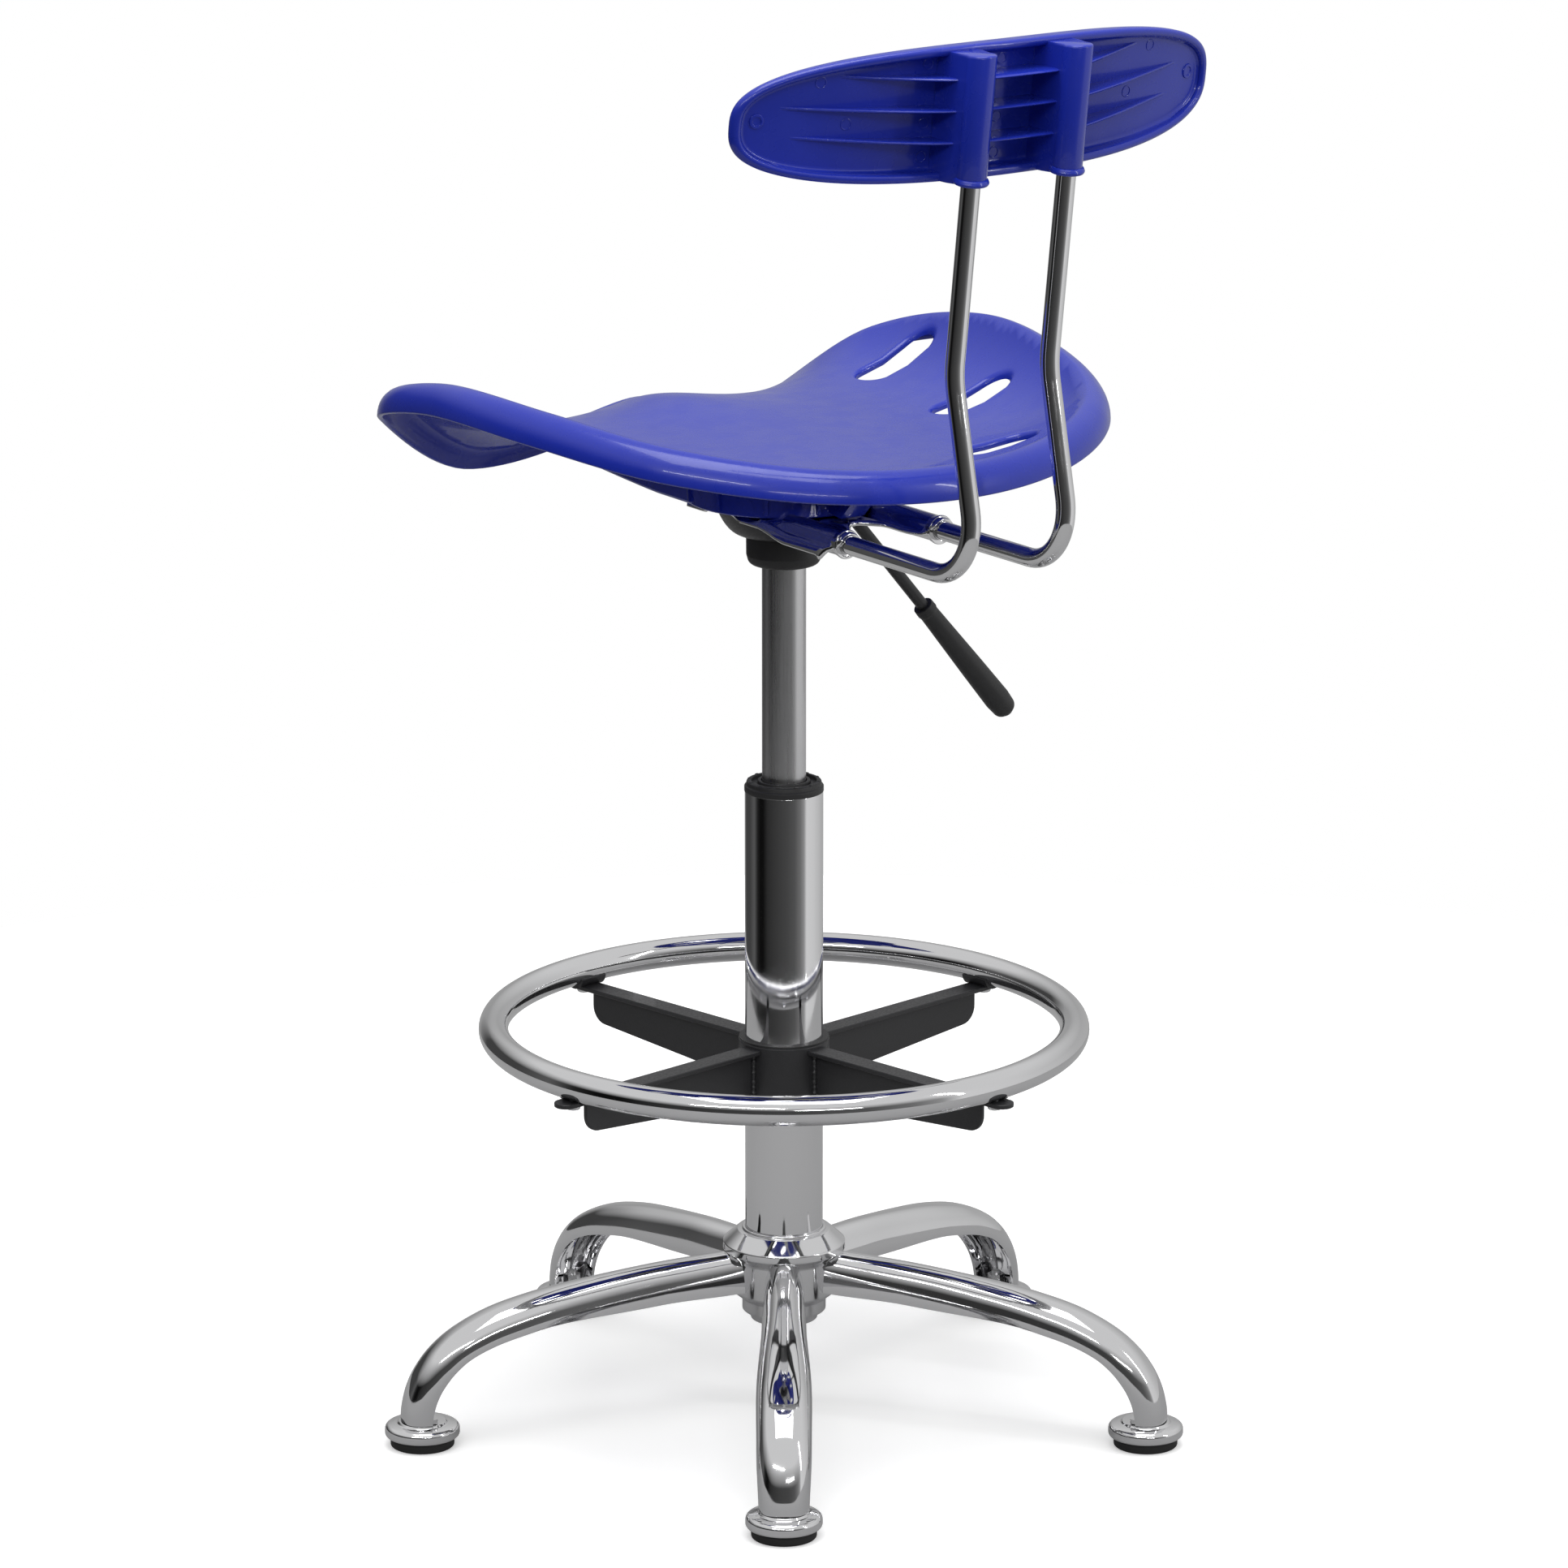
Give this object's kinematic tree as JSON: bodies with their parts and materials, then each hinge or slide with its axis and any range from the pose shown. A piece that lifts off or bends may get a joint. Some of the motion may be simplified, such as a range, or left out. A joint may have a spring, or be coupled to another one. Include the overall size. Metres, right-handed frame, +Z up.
{
  "type": "drafting chair",
  "caption": "Drafting chair with a swivelling gas-lift seat, low curved backrest, height-adjustable foot ring and a five-leg base on fixed glides.",
  "frame": {"origin": "on the floor on the column's axis", "axes": "+Z up, the sitter looks along -Y, the sitter's left is +X"},
  "size_m": [0.5101, 0.5303, 0.924],
  "materials": {
    "bright_chrome": "mirror",
    "satin_steel": "satin",
    "bright_steel": "plated",
    "blue_gloss": "gloss",
    "black_plastic": "matte",
    "black_paint": "semi-gloss",
    "black_rubber": "matte"
  },
  "bodies": {
    "base": {"base_hub": "bright_chrome", "column_tube": "bright_chrome", "column_cap": "black_plastic", "guide_bush": "black_plastic", "bearing_lower_washer": "bright_steel", "bearing_balls": "bright_steel", "bearing_cage": "black_plastic", "leg_1": "bright_chrome", "leg_2": "bright_chrome", "leg_3": "bright_chrome", "leg_4": "bright_chrome", "leg_5": "bright_chrome", "glide_cup_1": "bright_chrome", "glide_cup_2": "bright_chrome", "glide_cup_3": "bright_chrome", "glide_cup_4": "bright_chrome", "glide_cup_5": "bright_chrome", "glide_pad_1": "black_rubber", "glide_pad_2": "black_rubber", "glide_pad_3": "black_rubber", "glide_pad_4": "black_rubber", "glide_pad_5": "black_rubber", "glide_stems": "bright_steel", "glide_nuts": "bright_steel"},
    "footring": {"footring_tube": "bright_chrome", "footring_spider": "black_paint", "footring_bush": "black_plastic", "footring_set_screws": "bright_steel", "footring_screws": "bright_steel"},
    "gas_rod": {"piston_rod": "satin_steel", "piston": "black_plastic", "rod_clip": "bright_steel", "bearing_upper_washer": "bright_steel"},
    "seat": {"gas_cylinder": "satin_steel", "cylinder_seal": "black_plastic", "seat_plate": "bright_chrome", "dome_cup": "black_paint", "taper_socket": "black_paint", "column_boot": "black_plastic", "seat_screws": "bright_steel", "back_bar_left": "bright_chrome", "back_bar_right": "bright_chrome", "back_shell": "blue_gloss", "seat_shell": "blue_gloss", "lever_pivot_pin": "bright_steel"},
    "lever": {"lever_rod": "black_paint", "lever_grip": "black_plastic"},
    "release": {"release_pin": "satin_steel"}
  },
  "joints": [
    {"name": "seat_swivel", "type": "hinge", "parent": "base", "child": "gas_rod", "pos_m": [0, 0, 0.0911], "axis": [0, 0, 1], "continuous": true},
    {"name": "seat_height", "type": "slide", "parent": "gas_rod", "child": "seat", "axis": [0, 0, 1], "range_m": [-0.135, 0.09]},
    {"name": "footring_height", "type": "slide", "parent": "base", "child": "footring", "axis": [0, 0, 1], "range_m": [-0.085, 0.12]},
    {"name": "lever_lift", "type": "hinge", "parent": "seat", "child": "lever", "pos_m": [-0.024, 0, 0.594], "axis": [0, 1, 0], "range_deg": [0, 7], "stiffness_Nm_per_rad": 6, "springref_deg": -8.59},
    {"name": "release_press", "type": "slide", "parent": "seat", "child": "release", "axis": [0, 0, -1], "range_m": [0, 0.0035]}
  ],
  "couplings": [
    {"joint": "release_press", "follows": "lever_lift", "m_per_rad": 0.027}
  ]
}
